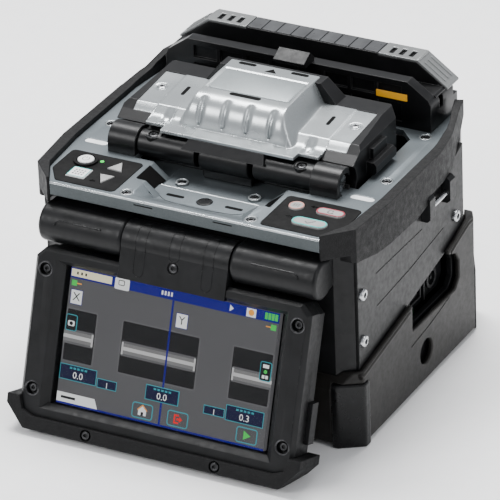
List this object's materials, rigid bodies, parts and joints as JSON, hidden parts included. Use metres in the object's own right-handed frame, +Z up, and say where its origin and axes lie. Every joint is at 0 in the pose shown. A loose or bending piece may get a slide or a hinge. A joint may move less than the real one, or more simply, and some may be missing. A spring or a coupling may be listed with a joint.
{
  "type": "fiber fusion splicer",
  "caption": "Bench and field arc splicer for optical fibre, with a hinged colour screen, a flip-up wind cover, a tube heater and rubber bumpers.",
  "frame": {"origin": "middle of the footprint on the ground, with the screen at its rest tilt", "axes": "+X to the operator's right, +Y from the screen to the back, +Z up"},
  "size_m": [0.1764, 0.1966, 0.1448],
  "materials": {
    "housing_black": "moulded, fine texture",
    "boot_rubber": "moulded rubber",
    "bumper_rubber": "leathery texture",
    "foot_rubber": "smooth",
    "panel_black": "fine powder coat",
    "deck_metal": "satin metallic grey",
    "cover_silver": "satin metallic silver",
    "trim_silver": "satin metallic",
    "frame_black": "semi gloss",
    "keypad_black": "matte film",
    "key_white": "gloss",
    "key_grey": "satin",
    "led_green": "clear lens",
    "lamp_white": "diffuser",
    "screw_black": "black oxide",
    "steel": "plain",
    "brass": "turned",
    "aluminium": "anodised",
    "ceramic": "ceramic",
    "tungsten": "ground",
    "screen": "display",
    "screen_glass": "gloss",
    "board_green": "solder mask",
    "battery_black": "moulded"
  },
  "bodies": {
    "main": {"lower_housing": "housing_black", "bottom_plate": "panel_black", "tripod_insert": "brass", "base_boot": "boot_rubber", "corner_feet": "foot_rubber", "side_panel_left": "panel_black", "side_panel_right": "panel_black", "side_screws": "steel", "side_bumper_left": "bumper_rubber", "side_bumper_right": "bumper_rubber", "strap_lugs": "housing_black", "strap_pins": "steel", "deck_plate": "deck_metal", "deck_screws": "steel", "work_tray": "deck_metal", "tray_plug": "foot_rubber", "lamp_windows": "lamp_white", "keypad_left": "keypad_black", "keypad_right": "keypad_black", "status_led": "led_green", "hinge_barrels": "housing_black", "cover_hinge_brackets": "frame_black", "cover_hinge_pins": "steel", "cover_roller": "frame_black", "chamber_base": "frame_black", "vgroove_block": "ceramic", "electrodes": "tungsten", "electrode_clamps": "frame_black", "objective_lenses": "aluminium", "heater_housing": "frame_black", "heater_hinge_pin": "steel", "heater_trough": "aluminium", "main_board": "board_green", "io_ports": "housing_black"},
    "monitor": {"monitor_neck": "housing_black", "monitor_bezel": "housing_black", "monitor_back_cover": "housing_black", "monitor_guard": "bumper_rubber", "monitor_screws": "screw_black", "lcd_panel": "screen", "touch_glass": "screen_glass", "hinge_shaft": "steel"},
    "wind_cover": {"cover_shell": "cover_silver", "cover_frame": "frame_black", "cover_screws": "steel", "cover_anvils": "frame_black"},
    "heater_top": {"heater_lid": "frame_black", "heater_lid_trim": "trim_silver"},
    "battery": {"battery_pack": "battery_black"},
    "stage_left": {"sheath_stage_left": "aluminium"},
    "stage_right": {"sheath_stage_right": "aluminium"},
    "clamp_left": {"sheath_lid_left": "frame_black"},
    "clamp_right": {"sheath_lid_right": "frame_black"},
    "power_key": {"power_button": "key_white"},
    "menu_key": {"menu_button": "key_white"},
    "up_key": {"up_button": "key_grey"},
    "down_key": {"down_button": "key_grey"},
    "heat_key": {"heat_button": "key_grey"},
    "reset_key": {"reset_button": "key_grey"},
    "set_key": {"set_button": "key_grey"}
  },
  "joints": [
    {"name": "monitor_tilt", "type": "hinge", "parent": "main", "child": "monitor", "pos_m": [0, -0.055, 0.0935], "axis": [-1, 0, 0], "range_deg": [0, 112]},
    {"name": "wind_cover_hinge", "type": "hinge", "parent": "main", "child": "wind_cover", "pos_m": [0, -0.0077, 0.1184], "axis": [1, 0, 0], "range_deg": [0, 95]},
    {"name": "heater_lid_hinge", "type": "hinge", "parent": "main", "child": "heater_top", "pos_m": [0, 0.0906, 0.1268], "axis": [-1, 0, 0], "range_deg": [0, 95]},
    {"name": "battery_slide", "type": "slide", "parent": "main", "child": "battery", "axis": [0, 1, 0], "range_m": [0, 0.056]},
    {"name": "stage_left_feed", "type": "slide", "parent": "main", "child": "stage_left", "axis": [1, 0, 0], "range_m": [-0.002, 0.002]},
    {"name": "clamp_left_hinge", "type": "hinge", "parent": "stage_left", "child": "clamp_left", "pos_m": [-0.036, 0.0296, 0.1184], "axis": [-1, 0, 0], "range_deg": [0, 90]},
    {"name": "stage_right_feed", "type": "slide", "parent": "main", "child": "stage_right", "axis": [-1, 0, 0], "range_m": [-0.002, 0.002]},
    {"name": "clamp_right_hinge", "type": "hinge", "parent": "stage_right", "child": "clamp_right", "pos_m": [0.036, 0.0296, 0.1184], "axis": [-1, 0, 0], "range_deg": [0, 90]},
    {"name": "power_press", "type": "slide", "parent": "main", "child": "power_key", "axis": [0, 0, -1], "range_m": [0, 0.0008], "stiffness_N_per_m": 900},
    {"name": "menu_press", "type": "slide", "parent": "main", "child": "menu_key", "axis": [0, 0, -1], "range_m": [0, 0.0008], "stiffness_N_per_m": 900},
    {"name": "up_press", "type": "slide", "parent": "main", "child": "up_key", "axis": [0, 0, -1], "range_m": [0, 0.0008], "stiffness_N_per_m": 900},
    {"name": "down_press", "type": "slide", "parent": "main", "child": "down_key", "axis": [0, 0, -1], "range_m": [0, 0.0008], "stiffness_N_per_m": 900},
    {"name": "heat_press", "type": "slide", "parent": "main", "child": "heat_key", "axis": [0, 0, -1], "range_m": [0, 0.0008], "stiffness_N_per_m": 900},
    {"name": "reset_press", "type": "slide", "parent": "main", "child": "reset_key", "axis": [0, 0, -1], "range_m": [0, 0.0008], "stiffness_N_per_m": 900},
    {"name": "set_press", "type": "slide", "parent": "main", "child": "set_key", "axis": [0, 0, -1], "range_m": [0, 0.0008], "stiffness_N_per_m": 900}
  ]
}
